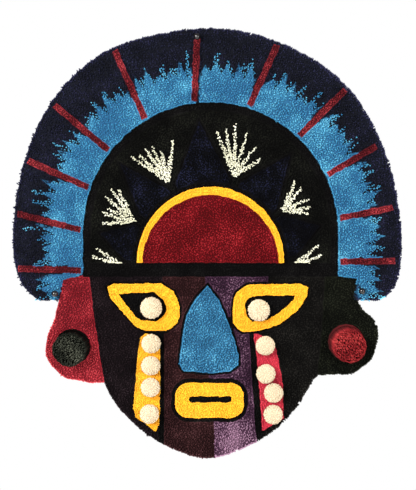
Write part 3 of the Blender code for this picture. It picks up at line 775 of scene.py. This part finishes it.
def finish_tufts(tree, given, instances):
    """Makes the tufts real, tones each ply with painted shade along borders and painted light at the rim,
    maps each tuft to a small square of its own, and adds the bed.
    """
    node, maths, vectors = (partial(made_by, tree) for made_by in (add_node, calculated, vector_math))
    tuft_number = node("GeometryNodeInputIndex").outputs[0]
    numbered = marked(tree, instances, "tuft", tuft_number, "INT", "INSTANCE")
    tuft_count = node("GeometryNodeAttributeDomainSize", {0: numbered}, component="INSTANCES")
    real = node("GeometryNodeRealizeInstances", {"Geometry": numbered})
    which_tuft = stored(tree, "tuft", "INT")
    ply_number = maths("MULTIPLY_ADD", which_tuft, float(PLIES), stored(tree, "ply", "FLOAT"))
    own_tone = mixed(tree, random_from(tree, which_tuft, 5), random_from(tree, ply_number, 6), PLY_TONE_SHARE)
    # Painted shade along borders, and painted light at the rim, taken off each tuft's tone.
    shade = maths("MULTIPLY", stored(tree, "edge", "FLOAT"), EDGE_PAINTED_SHADE)
    toned = marked(tree, real.outputs[0], "tone", maths("SUBTRACT", own_tone, shade))
    columns = maths("CEIL", maths("SQRT", tuft_count.outputs["Instance Count"]))
    column = maths("MODULO", which_tuft, columns)
    row = maths("FLOOR", maths("DIVIDE", which_tuft, columns))
    cell = node("ShaderNodeSeparateXYZ", {0: stored(tree, "cell", "FLOAT_VECTOR")}).outputs
    inset = [maths("MULTIPLY_ADD", cell[axis], 1 - 2 * CELL_MARGIN, CELL_MARGIN) for axis in ("X", "Y")]
    map_x = maths("DIVIDE", maths("ADD", column, inset[0]), columns)
    map_y = maths("DIVIDE", maths("ADD", row, inset[1]), columns)
    map_place = node(
        "ShaderNodeCombineXYZ", {"X": map_x, "Y": maths("MULTIPLY", map_y, TUFT_MAP_SHARE)}
    )
    mapped = marked(tree, toned, "OFBake", map_place.outputs[0], "FLOAT2", "CORNER")
    bed_shape = node("GeometryNodeObjectInfo", {"Object": given["Bed"]})
    whole_pile = node("GeometryNodeJoinGeometry", {"Geometry": mapped})
    tree.links.new(bed_shape.outputs["Geometry"], whole_pile.inputs["Geometry"])
    end_tree(tree, whole_pile.outputs[0], given["Yarn"])


finish_tufts(pile_tree, given, lowered.outputs[0])


def map_bed(shape):
    """Lays the bed out on the strip of the map that the tufts leave free."""
    map_place = shape.loops.layers.uv.new("OFBake")
    span_x, span_z = cad_high.x - cad_low.x, cad_high.z - cad_low.z
    for face in shape.faces:
        for loop in face.loops:
            across = (loop.vert.co.x - cad_low.x) / span_x
            up = (loop.vert.co.z - cad_low.z) / span_z
            strip = 1 - TUFT_MAP_SHARE - 2 * STRIP_MARGIN
            loop[map_place].uv = (across, TUFT_MAP_SHARE + STRIP_MARGIN + strip * up)


def pile_bed(node_names, share):
    """The dense lower pile of these fields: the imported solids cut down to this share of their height."""
    shape = merged_copy(node_names)
    low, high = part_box(node_names[0])
    for point in shape.verts:
        point.co.y = high.y + (point.co.y - high.y) * share
    map_bed(shape)
    return mesh_object("bed", shape)


def yarn_material(name, shades, shadow=0.35, sheen_patch=0.7, speckle=0.7, gradient=None, gloss=0.12):
    """Wool yarn: a shade for each ply, fibres along it, painted sheen patches where the pile lies over, and
    painted shade at the roots.
    """
    material, tree, shader = new_material(name)
    node, maths, vectors = (partial(made_by, tree) for made_by in (add_node, calculated, vector_math))
    place = on_object(tree)
    tone = node("ShaderNodeAttribute", attribute_name="tone").outputs["Fac"]
    rise = node("ShaderNodeAttribute", attribute_name="rise").outputs["Fac"]
    # Painted sheen: soft lighter and darker patches where the pile lies over and catches the light.
    sheen_patches = noise(tree, place, 24.0, Detail=3.0)
    fibres = noise(tree, place, 1400.0, Detail=1.0)
    lean = maths("MULTIPLY", maths("SUBTRACT", sheen_patches, 0.5), 2 * sheen_patch)
    grain = maths("MULTIPLY", maths("SUBTRACT", fibres, 0.5), 0.5)
    own_tone = maths("MULTIPLY_ADD", maths("SUBTRACT", tone, 0.5), speckle, 0.5)
    shade = maths("ADD", maths("ADD", own_tone, lean), grain)
    if gradient is not None:
        (from_x, from_z), (to_x, to_z), amount = gradient
        along = Vector((to_x - from_x, 0.0, to_z - from_z))
        from_start = vectors("SUBTRACT", place, (from_x, 0.0, from_z)).outputs[0]
        way = vectors("DOT_PRODUCT", from_start, tuple(along / along.length_squared)).outputs["Value"]
        slope = node("ShaderNodeMapRange", {"Value": way, "To Max": amount})
        shade = maths("ADD", shade, slope.outputs[0])
    colour = coloured(tree, shade, shades, 0.08, 0.92)
    # Painted shade at the roots: each strand darkens towards its foot, and the bed, which has no rise, takes
    # the full painted shade.
    lit = maths("POWER", rise, 2.0)
    light_share = mixed(tree, shadow, 1.0, lit)
    root_shaded = node("ShaderNodeVectorMath", {0: colour}, operation="SCALE")
    tree.links.new(light_share, root_shaded.inputs["Scale"])
    tree.links.new(root_shaded.outputs[0], shader.inputs["Base Color"])
    shader.inputs["Roughness"].default_value = 0.92
    shader.inputs["Specular IOR Level"].default_value = gloss
    return material


tuft = one_tuft()
cloth_edge = outline_of(["primary_cloth"], "cloth_edge")
pile_seeds = count(1)


def tufted(name, node_names, yarn, field=None, border=None, bed_share=BED_SHARE, **changes):
    """Grows one yarn's tufts on these nodes' fields, on their lower pile, and puts the piece on the mask."""
    low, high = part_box(node_names[0])
    piece = facing(field or node_names, name)
    bed = pile_bed(node_names, bed_share)
    edge = outline_of(border or node_names, "border")
    values = {
        "Tuft": tuft,
        "Bed": bed,
        "Border": edge,
        "Cloth edge": cloth_edge,
        "Keep outside": True,
        "Spacing": TUFT_SPACING,
        "Yarn radius": YARN_RADIUS,
        "Foot": high.y,
        "Pile height": high.y - low.y,
        "Edge drop": 0.05,
        "Splay": 0.14,
        "Rim lean": 0.24,
        "Comb": (0.0, 0.0, 0.0),
        "Gather": 0.0,
        "Seed": next(pile_seeds),
        "Yarn": yarn,
    }
    grown_piece(piece, pile_tree, pile_names, values | changes)
    bpy.data.objects.remove(bed)
    bpy.data.objects.remove(edge)
    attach(piece, "mask")
    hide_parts(*node_names)
    return piece


# --- Feather headdress: navy pile with a blue band ------------------------------------------------
# Both yarns share one run of rows. The blue stands inside, and its edge is broken into fine tongues
# that run out along the feathers; the navy fills the rest, out to the rim.
FEATHER_NODES = ["pile_headdress_navy", "pile_band_blue"]
FEATHER_MIDDLE = (-0.006, 0.0, 0.043)
BLUE_SOFTENING = 1
BLUE_TUCK = 0.05
AT_ARCH = 0.004
arch_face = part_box("pile_outline_crown")[0].y
RAYS = [f"pile_ray_{k:02d}" for k in range(1, 12)]
feather_border = [*RAYS, "pile_outline_crown", "pile_ear_left", "pile_ear_right", "primary_cloth"]
blue_shape = facing(["pile_band_blue"], "blue_shape")
arch_points = merged_copy(["pile_outline_crown"])
near_arch = KDTree(len(arch_points.verts))
for k, point in enumerate(arch_points.verts):
    near_arch.insert(point.co, k)
near_arch.balance()
arch_points.free()
soft_blue = bmesh.new()
soft_blue.from_mesh(blue_shape.data)
for _ in range(BLUE_SOFTENING):
    moved = {}
    for point in soft_blue.verts:
        ends = [edge.other_vert(point).co for edge in point.link_edges if edge.is_boundary]
        if len(ends) == 2 and near_arch.find(Vector((point.co.x, arch_face, point.co.z)))[2] > AT_ARCH:
            moved[point] = point.co.lerp((ends[0] + ends[1]) / 2, 0.5)
    for point, place in moved.items():
        point.co = place
middle = Vector((FEATHER_MIDDLE[0], 0.0, FEATHER_MIDDLE[2]))
for point in soft_blue.verts:
    spot = Vector((point.co.x, 0.0, point.co.z))
    if near_arch.find(spot + Vector((0.0, arch_face, 0.0)))[2] < AT_ARCH:
        point.co += BLUE_TUCK * (middle - spot).normalized()
soft_blue.to_mesh(blue_shape.data)
soft_blue.free()
feathers = {
    "field": FEATHER_NODES,
    "border": feather_border,
    "Pattern": blue_shape,
    "Middle": FEATHER_MIDDLE,
    "Wander": 0.038,
    "Wander beat": 20.0,
    "Whisker": 0.042,
    "Stray": 0.0007,
    "Spacing": 0.0031,
    "Edge drop": 0.0,
    "Seed": 100,
}
navy_shades = [(12, 13, 19), (23, 25, 36), (44, 44, 72)]
navy_yarn = yarn_material("navy_yarn", navy_shades, shadow=0.6, sheen_patch=0.35, gloss=0.04)
blue_yarn = yarn_material("blue_yarn", [(40, 98, 140), (64, 140, 178), (108, 188, 216)], sheen_patch=0.7)
tufted("tufts_navy_feathers", ["pile_headdress_navy"], navy_yarn, **feathers | {"Keep outside": True})
tufted("tufts_blue_feathers", ["pile_band_blue"], blue_yarn, **feathers | {"Keep outside": False})
bpy.data.objects.remove(blue_shape)

# Eleven red rays stand between the feathers, two or three rows wide, from the arch almost to the rim.
ray_yarn = yarn_material("ray_red_yarn", [(76, 18, 24), (122, 36, 43), (172, 62, 68)], sheen_patch=1.0, gloss=0.05)
tufted("tufts_rays", RAYS, ray_yarn)

# --- Crown: black lines, dark ground with cream sprays, navy points -------------------------------
# A broad black arch and brow band frame the crown. Five navy points stand in a dark green-black ground,
# and between them sprays of single cream tufts fan out from where two points meet.
SPRAYS = (
    ((-0.172, -0.046), ((146, 0.061), (162, 0.063), (185, 0.050))),
    ((-0.148, 0.040), ((180, 0.064), (163, 0.068), (151, 0.062), (137, 0.078), (124, 0.083), (115, 0.074))),
    ((-0.080, 0.124), ((147, 0.090), (139, 0.080), (126, 0.081), (115, 0.076), (103, 0.062), (83, 0.086))),
    ((0.052, 0.134), ((111, 0.095), (100, 0.095), (88, 0.104), (73, 0.092), (54, 0.074), (32, 0.065))),
    ((0.150, 0.066), ((67, 0.065), (49, 0.061), (23, 0.056), (4, 0.056), (-8, 0.055))),
    ((0.172, -0.046), ((40, 0.068), (21, 0.062), (4, 0.058))),
)
SPRAY_ROOT_HALF = 0.0064
SPRAY_TIP_HALF = 0.0015
SPRAY_START_SHARE = 0.6
SPRAY_BELLY_SHARE = 0.55
SPRAY_BELLY_AT = 0.45
SPRAY_RISE = 1.06
SPRAY_SPACING = 0.0019
spray_shape = bmesh.new()
for (apex_x, apex_z), strokes in SPRAYS:
    apex = Vector((apex_x, PILE_FRONT, apex_z))
    for degrees, reach in strokes:
        direction = Vector((math.cos(math.radians(degrees)), 0.0, math.sin(math.radians(degrees))))
        side = Vector((-direction.z, 0.0, direction.x))
        end = apex + direction * reach
        middle = apex + direction * reach * SPRAY_BELLY_AT
        corners = [
            apex - side * SPRAY_ROOT_HALF * SPRAY_START_SHARE,
            middle - side * SPRAY_ROOT_HALF * SPRAY_BELLY_SHARE,
            end - side * SPRAY_TIP_HALF,
            end + side * SPRAY_TIP_HALF,
            middle + side * SPRAY_ROOT_HALF * SPRAY_BELLY_SHARE,
            apex + side * SPRAY_ROOT_HALF * SPRAY_START_SHARE,
        ]
        spray_shape.faces.new([spray_shape.verts.new(corner) for corner in corners])
sprays = mesh_object("spray_shape", spray_shape)
ground_pattern = {
    "Pattern": sprays,
    "Middle": FEATHER_MIDDLE,
    "Stray": 0.0010,
    "Spacing": 0.0027,
    "Seed": 200,
}
ground_yarn = yarn_material("green_black_yarn", [(11, 11, 10), (20, 20, 18), (34, 35, 29)], gloss=0.02)
cream_yarn = yarn_material("cream_yarn", [(196, 194, 168), (228, 226, 202), (242, 240, 224)], shadow=0.5)
tufted("tufts_crown_ground", ["pile_crown_ground"], ground_yarn, **ground_pattern | {"Keep outside": True})
black_yarn = yarn_material("black_yarn", [(11, 10, 10), (19, 18, 18), (32, 31, 30)], gloss=0.02)
tufted("tufts_crown_lines", ["pile_outline_crown"], black_yarn)
spray_piece = facing(["pile_crown_ground"], "tufts_cream_sprays")
empty_bed = add_object("empty_bed", bpy.data.meshes.new("empty_bed"))
ground_edge = outline_of(["pile_crown_ground"], "border")
ground_low, ground_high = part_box("pile_crown_ground")
grown_piece(
    spray_piece,
    pile_tree,
    pile_names,
    {
        "Tuft": tuft,
        "Bed": empty_bed,
        "Border": ground_edge,
        "Cloth edge": cloth_edge,
        "Keep outside": False,
        "Yarn radius": YARN_RADIUS,
        "Foot": ground_high.y,
        "Pile height": (ground_high.y - ground_low.y) * SPRAY_RISE,
        "Edge drop": 0.10,
        "Splay": 0.14,
        "Yarn": cream_yarn,
    }
    | ground_pattern
    | {"Spacing": SPRAY_SPACING},
)
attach(spray_piece, "mask")
for spent in (sprays, empty_bed, ground_edge):
    bpy.data.objects.remove(spent)
point_yarn = yarn_material("point_navy_yarn", [(8, 8, 12), (15, 16, 22), (34, 36, 58)], sheen_patch=1.2, gloss=0.03)
tufted("tufts_points", [f"pile_point_{k}" for k in range(1, 6)], point_yarn)

# --- Sun: a red half disc in a yellow rim ---------------------------------------------------------
# Red wool pile shot into the same cloth, with a yellow rim round it. The rim's tufts are set close and
# stand higher, so that it looks smooth; the disc is a plain field.
sun_yarn = yarn_material("sun_red_yarn", [(88, 14, 18), (126, 22, 29), (178, 48, 54)], gloss=0.03)
yellow_shades = [(238, 168, 38), (247, 184, 48), (252, 198, 64)]
yellow_yarn = yarn_material("yellow_yarn", yellow_shades, shadow=0.7, sheen_patch=0.3)
tufted("tufts_sun", ["pile_sun_disc"], sun_yarn)
tufted("tufts_sun_rim", ["pile_sun_rim"], yellow_yarn, Spacing=0.0024)

# --- Face: four fields of colour ------------------------------------------------------------------
# Aubergine, maroon, purple and black wool pile, side by side on the same cloth. The purple is painted paler
# towards the chin, as painted light.
aubergine_yarn = yarn_material("aubergine_yarn", [(20, 15, 17), (32, 24, 27), (50, 40, 44)], gloss=0.02)
maroon_yarn = yarn_material("maroon_yarn", [(38, 20, 21), (58, 33, 34), (84, 52, 54)], gloss=0.02)
purple_shades = [(46, 26, 42), (80, 50, 72), (160, 122, 146)]
painted_light_to_chin = ((0, -0.31), (0, -0.42), 0.55)
purple_yarn = yarn_material("purple_yarn", purple_shades, gradient=painted_light_to_chin, gloss=0.05)
tufted("tufts_left_cheek", ["pile_cheek_left"], aubergine_yarn)
tufted("tufts_left_brow_and_chin", ["pile_maroon"], maroon_yarn)
tufted("tufts_purple", ["pile_purple_brow", "pile_purple_chin"], purple_yarn)
warm_black_yarn = yarn_material("warm_black_yarn", [(15, 14, 13), (26, 25, 23), (42, 40, 37)], gloss=0.02)
tufted("tufts_right_cheek", ["pile_cheek_right"], warm_black_yarn)

# --- Eyes, nose and mouth -------------------------------------------------------------------------
# Wool pile on the same cloth. Low black lines set off each shape, and the yellow rings and the blue nose
# are carved to stand above them.
FACE_LINES = ["pile_outline_left_eye", "pile_outline_nose_and_right_eye", "pile_outline_mouth"]
nose_yarn = yarn_material("nose_blue_yarn", [(42, 100, 138), (66, 140, 180), (108, 186, 216)])
tufted("tufts_face_lines", FACE_LINES, black_yarn, Spacing=0.0026)
tufted("tufts_eye_grounds", ["pile_eye_ground_left", "pile_eye_ground_right"], black_yarn)
tufted("tufts_eye_rings", ["pile_eye_ring_left", "pile_eye_ring_right"], yellow_yarn, Spacing=0.0024)
tufted("tufts_nose", ["pile_nose"], nose_yarn)
tufted("tufts_mouth_ring", ["pile_mouth_ring"], yellow_yarn, Spacing=0.0024)
tufted("tufts_mouth_slot", ["pile_mouth_slot"], black_yarn)

# --- Tears: a strip of colour behind each string of pompoms ---------------------------------------
# A strip of wool pile runs from each eye to the edge of the face: yellow on the left and pink on the
# right. The pompoms are sewn down through it.
pink_yarn = yarn_material("pink_yarn", [(176, 44, 60), (214, 64, 80), (238, 100, 114)], shadow=0.6)
tufted("tufts_left_tears", ["pile_tear_left"], yellow_yarn, Spacing=0.0025)
tufted("tufts_right_tears", ["pile_tear_right"], pink_yarn)

# --- Pompoms: two pupils and two strings of four tears --------------------------------------------
# Each is a ball of cream wool: a bundle of yarn tied at the middle, its ends standing out all round and
# clipped to a ball, with a short neck sewn down through the cloth.
POM_SPACING = 0.0021
POM_YARN_RADIUS = 0.00125
POM_CORE_SHARE = 0.66
POM_SPLAY = 0.40
POM_CORE_SIZE = 0.86
SHORTEST_CLIP = 0.94
LONGEST_CLIP = 1.10
POM_BALL_DEPTH = PILE_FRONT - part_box("pom_tear_left_1")[0].y

pom_tree, given, pom_names = new_tree(
    "pompom_yarn",
    {
        "Tuft": "Object",
        "Bed": "Object",
        "Spacing": "Float",
        "Yarn radius": "Float",
        "Core share": "Float",
        "Splay": "Float",
        "Seed": "Int",
        "Yarn": "Material",
    },
)
node, maths, vectors = (partial(made_by, pom_tree) for made_by in (add_node, calculated, vector_math))
pom_points = scatter(pom_tree, given)
pom_middle = stored(pom_tree, "middle", "FLOAT_VECTOR")
pom_place = node("GeometryNodeInputPosition").outputs[0]
from_tie = vectors("SUBTRACT", pom_place, pom_middle).outputs[0]
strand_length = vectors("LENGTH", from_tie).outputs["Value"]
pom_loose = random_lean(pom_tree, (-1, -1, -1), (1, 1, 1), 11)
pom_heading = vectors(
    "ADD",
    vectors("NORMALIZE", from_tie).outputs[0],
    scaled(pom_tree, pom_loose, given["Splay"]),
)
pom_turned = spun_upright(pom_tree, pom_heading.outputs[0], 12)
clip = random_number(pom_tree, SHORTEST_CLIP, LONGEST_CLIP, 13)
shown_share = maths("SUBTRACT", maths("DIVIDE", 1.0, given["Core share"]), 1.0)
pom_tall = maths("MULTIPLY", maths("MULTIPLY", strand_length, shown_share), clip)
pom_size = node(
    "ShaderNodeCombineXYZ", {"X": given["Yarn radius"], "Y": given["Yarn radius"], "Z": pom_tall}
)
at_core = node(
    "GeometryNodeSetPosition",
    {
        "Geometry": pom_points,
        "Position": vectors("ADD", pom_middle, scaled(pom_tree, from_tie, given["Core share"])).outputs[0],
    },
)
pom_tuft = node("GeometryNodeObjectInfo", {"Object": given["Tuft"]})
pom_strands = node(
    "GeometryNodeInstanceOnPoints",
    {
        "Points": at_core.outputs[0],
        "Instance": pom_tuft.outputs["Geometry"],
        "Rotation": pom_turned,
        "Scale": pom_size.outputs[0],
    },
)
finish_tufts(pom_tree, given, pom_strands.outputs[0])


def pompoms(name, node_names, yarn, seed):
    """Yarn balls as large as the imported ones, each on a core that its strands hide."""
    skin, core = bmesh.new(), bmesh.new()
    middle_of = skin.verts.layers.float_vector.new("middle")
    for node_name in node_names:
        whole = frame["nodes"][node_name].data
        low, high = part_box(node_name)
        middle = (low + high) / 2
        middle.y = low.y + POM_BALL_DEPTH / 2
        before = len(skin.verts)
        skin.from_mesh(whole)
        skin.verts.ensure_lookup_table()
        for point in skin.verts[before:]:
            point[middle_of] = middle
        before = len(core.verts)
        core.from_mesh(whole)
        core.verts.ensure_lookup_table()
        for point in core.verts[before:]:
            if point.co.y < low.y + POM_BALL_DEPTH:
                point.co = middle + (point.co - middle) * POM_CORE_SIZE
    neck = [
        face
        for face in skin.faces
        if face.calc_center_median().y > face.verts[0][middle_of].y + POM_BALL_DEPTH / 2
    ]
    bmesh.ops.delete(skin, geom=neck, context="FACES")
    map_bed(core)
    piece = mesh_object(name, skin)
    bed = mesh_object("core", core)
    grown_piece(
        piece,
        pom_tree,
        pom_names,
        {
            "Tuft": tuft,
            "Bed": bed,
            "Spacing": POM_SPACING,
            "Yarn radius": POM_YARN_RADIUS,
            "Core share": POM_CORE_SHARE,
            "Splay": POM_SPLAY,
            "Seed": seed,
            "Yarn": yarn,
        },
    )
    bpy.data.objects.remove(bed)
    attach(piece, "mask")
    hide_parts(*node_names)


pom_shades = [(180, 163, 136), (198, 180, 152), (212, 195, 168)]
pom_yarn = yarn_material("pom_cream_yarn", pom_shades, shadow=0.7, sheen_patch=0.3)
pompoms("pompom_pupils", ["pom_pupil_left", "pom_pupil_right"], pom_yarn, 1)
for side_seed, side_name in ((2, "left"), (3, "right")):
    tears = [f"pom_tear_{side_name}_{k}" for k in range(1, 5)]
    pompoms(f"pompom_tears_{side_name}", tears, pom_yarn, side_seed)

# --- Ears and their discs -------------------------------------------------------------------------
# Each ear is a lobe of plain wool pile on the same cloth. Its disc is a round of very long pile, tufted
# into the ear and cut flat like a brush.
ear_shades = [(112, 24, 32), (154, 38, 48), (198, 68, 76)]
paler_to_lobe = ((0, -0.13), (0, -0.24), 0.25)
ear_yarn = yarn_material("ear_red_yarn", ear_shades, gradient=paler_to_lobe, gloss=0.05)
moss_shades = [(20, 22, 18), (53, 55, 47), (104, 106, 91)]
moss_yarn = yarn_material("grey_green_yarn", moss_shades, shadow=0.08, gloss=0.05)
disc_red_yarn = yarn_material("disc_red_yarn", [(106, 22, 26), (150, 37, 41), (198, 74, 72)], shadow=0.25)
tufted("tufts_left_ear", ["pile_ear_left"], ear_yarn)
olive_yarn = yarn_material("ear_olive_yarn", [(14, 15, 11), (26, 28, 21), (42, 44, 34)], gloss=0.02)
tufted("tufts_right_ear", ["pile_ear_right"], olive_yarn)
long_pile = {
    "bed_share": 0.30,
    "Spacing": 0.0025,
    "Yarn radius": 0.00135,
    "Edge drop": 0.03,
    "Splay": 0.02,
    "Gather": 2.0,
}
for disc_name, disc_node, disc_yarn, comb in (
    ("tufts_left_disc", "ear_disc_left", moss_yarn, (-0.05, 0.0, -0.06)),
    ("tufts_right_disc", "ear_disc_right", disc_red_yarn, (0.03, 0.0, -0.12)),
):
    disc_low, disc_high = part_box(disc_node)
    tufted(disc_name, [disc_node], disc_yarn, **long_pile, Middle=(disc_low + disc_high) / 2, Comb=comb)

# --- Nails ----------------------------------------------------------------------------------------
# Three ball-headed nails hold the mask on the wall: a turned head in black enamel, a small collar, and a
# plain steel shank drawn to a point, driven through the cloth. Each pulls straight out.
NAIL_TURNS = 48
HEAD_STEPS = 14
ENAMEL_DEPTH_SHARE = 2.05
COLLAR_SHARE = 1.9

enamel_nail, nail_tree, nail_shader = new_material("enamelled_nail")
nail_place = on_object(nail_tree)
nail_depth = add_node(nail_tree, "ShaderNodeSeparateXYZ", {0: nail_place}).outputs["Y"]
nail_low, nail_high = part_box("nail_left")
head_radius = (nail_high.x - nail_low.x) / 2
is_steel = calculated(nail_tree, "GREATER_THAN", nail_depth, nail_low.y + head_radius * ENAMEL_DEPTH_SHARE)
orange_peel = noise(nail_tree, nail_place, 700.0, Detail=2.0)
enamel = coloured(nail_tree, orange_peel, ((10, 9, 9), (20, 18, 18)))
nail_colour = add_node(
    nail_tree,
    "ShaderNodeMix",
    {0: is_steel, "A": enamel, "B": paint(176, 174, 170)},
    data_type="RGBA",
)
nail_tree.links.new(nail_colour.outputs["Result"], nail_shader.inputs["Base Color"])
nail_tree.links.new(is_steel, nail_shader.inputs["Metallic"])
raised(nail_tree, nail_shader, orange_peel, 0.00006, 0.4)
nail_shader.inputs["Roughness"].default_value = 0.12
nail_shader.inputs["Specular IOR Level"].default_value = 0.5

for nail_name in ("nail_left", "nail_right", "nail_top"):
    low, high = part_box(nail_name)
    axis_place = (low + high) / 2
    packed_nail = frame["nodes"][nail_name].data
    shank_radius = min(
        math.hypot(v.co.x - axis_place.x, v.co.z - axis_place.z)
        for v in packed_nail.vertices
        if math.hypot(v.co.x - axis_place.x, v.co.z - axis_place.z) > MERGE_WITHIN
    )
    head_middle = low.y + head_radius
    profile = [(0.0, low.y)]
    neck_turn = math.pi - math.asin(COLLAR_SHARE * shank_radius / head_radius)
    for k in range(1, HEAD_STEPS + 1):
        turn = neck_turn * k / HEAD_STEPS
        profile.append((head_radius * math.sin(turn), head_middle - head_radius * math.cos(turn)))
    collar = profile[-1][1]
    profile += [
        (COLLAR_SHARE * shank_radius, collar + 0.9 * shank_radius),
        (1.6 * shank_radius, collar + 1.2 * shank_radius),
        (shank_radius, collar + 1.3 * shank_radius),
        (shank_radius, high.y - 4.0 * shank_radius),
        (0.55 * shank_radius, high.y - 1.8 * shank_radius),
        (0.0, high.y),
    ]
    turned_nail = bmesh.new()
    rings = []
    for radius, y in profile:
        rings.append([])
        for k in range(NAIL_TURNS if radius else 1):
            turn = 2 * math.pi * k / NAIL_TURNS
            across, up = radius * math.cos(turn), radius * math.sin(turn)
            rings[-1].append(turned_nail.verts.new((axis_place.x + across, y, axis_place.z + up)))
    for near, far in zip(rings, rings[1:]):
        for k in range(NAIL_TURNS):
            steps = ((near, k), (far, k), (far, k + 1), (near, k + 1))
            corners = dict.fromkeys(ring[step % len(ring)] for ring, step in steps)
            turned_nail.faces.new(list(corners))
    nail = mesh_object(f"turned_{nail_name}", turned_nail)
    nail.data.shade_smooth()
    nail.data.set_sharp_from_angle(angle=math.radians(50))
    nail.data.materials.append(enamel_nail)
    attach(nail, nail_name)
    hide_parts(nail_name)

bpy.data.objects.remove(tuft)
bpy.data.objects.remove(cloth_edge)
